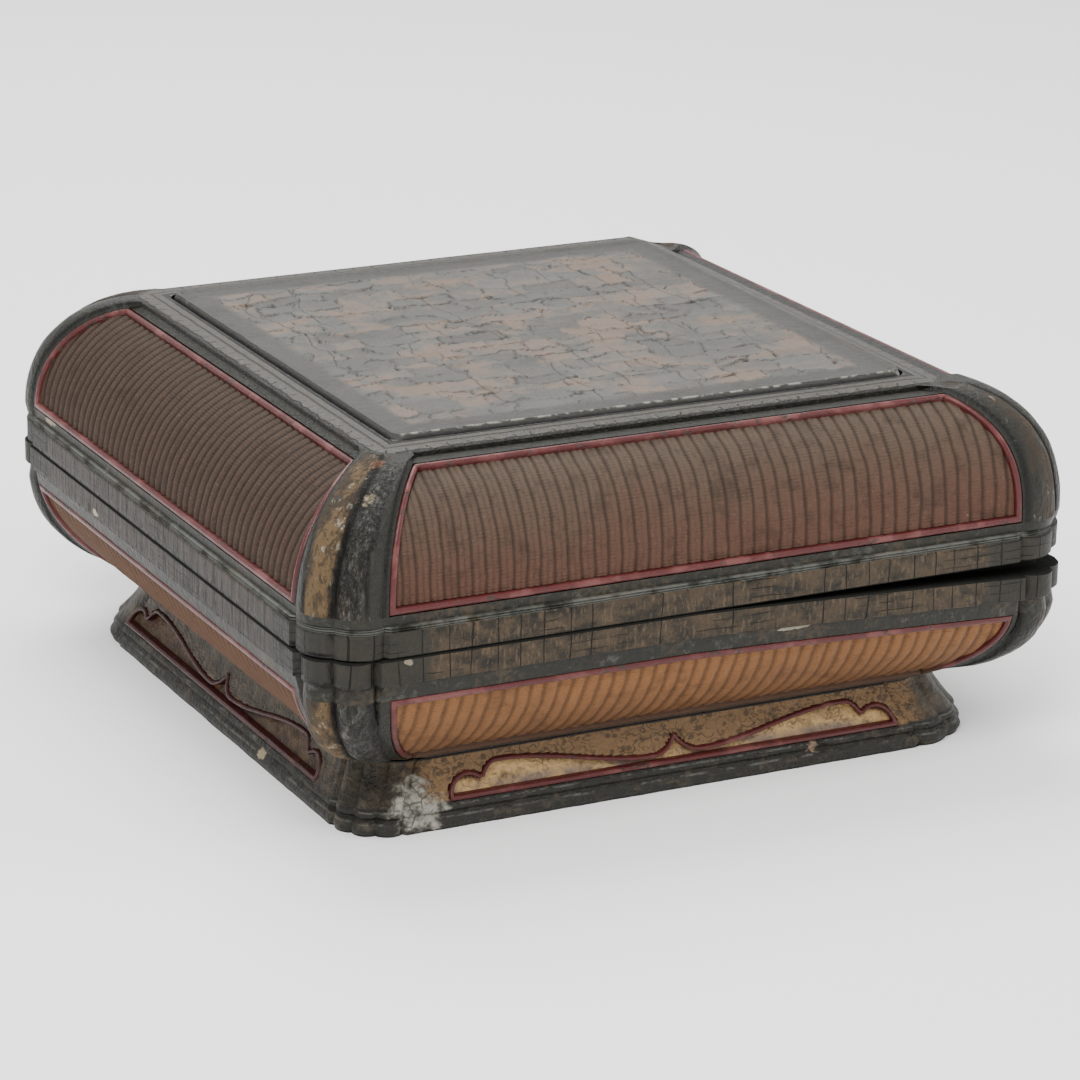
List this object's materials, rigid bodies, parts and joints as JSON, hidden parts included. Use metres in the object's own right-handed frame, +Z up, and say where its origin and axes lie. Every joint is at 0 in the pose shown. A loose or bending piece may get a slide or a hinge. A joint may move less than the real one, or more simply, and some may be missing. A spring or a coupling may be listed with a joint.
{
  "type": "lacquer_box",
  "caption": "Square black and red lacquer box with bulging basketry panels, a lift-off lid with a raised top board, and a flared foot with cusped panels; worn and crackled.",
  "frame": {"origin": "middle of the box on the ground, under the foot", "axes": "+Z up, front faces -Y"},
  "size_m": [0.3, 0.3, 0.136],
  "materials": {
    "lacquer": "worn black lacquer, crackled",
    "board": "grey crackled lacquer with worn gilding",
    "lid_basketry": "brown basketry under lacquer",
    "base_basketry": "gilt basketry",
    "red_lacquer": "red lacquer, satin"
  },
  "bodies": {
    "root": {"foot_frame": "lacquer", "base_frame": "lacquer", "base_floor": "lacquer", "lid_frame": "lacquer", "lid_top_board": "board", "foot_bead_front": "red_lacquer", "base_basketry_front": "base_basketry", "base_fillet_front": "red_lacquer", "lid_basketry_front": "lid_basketry", "lid_fillet_front": "red_lacquer", "foot_bead_right": "red_lacquer", "base_basketry_right": "base_basketry", "base_fillet_right": "red_lacquer", "lid_basketry_right": "lid_basketry", "lid_fillet_right": "red_lacquer", "foot_bead_back": "red_lacquer", "base_basketry_back": "base_basketry", "base_fillet_back": "red_lacquer", "lid_basketry_back": "lid_basketry", "lid_fillet_back": "red_lacquer", "foot_bead_left": "red_lacquer", "base_basketry_left": "base_basketry", "base_fillet_left": "red_lacquer", "lid_basketry_left": "lid_basketry", "lid_fillet_left": "red_lacquer"}
  },
  "joints": []
}
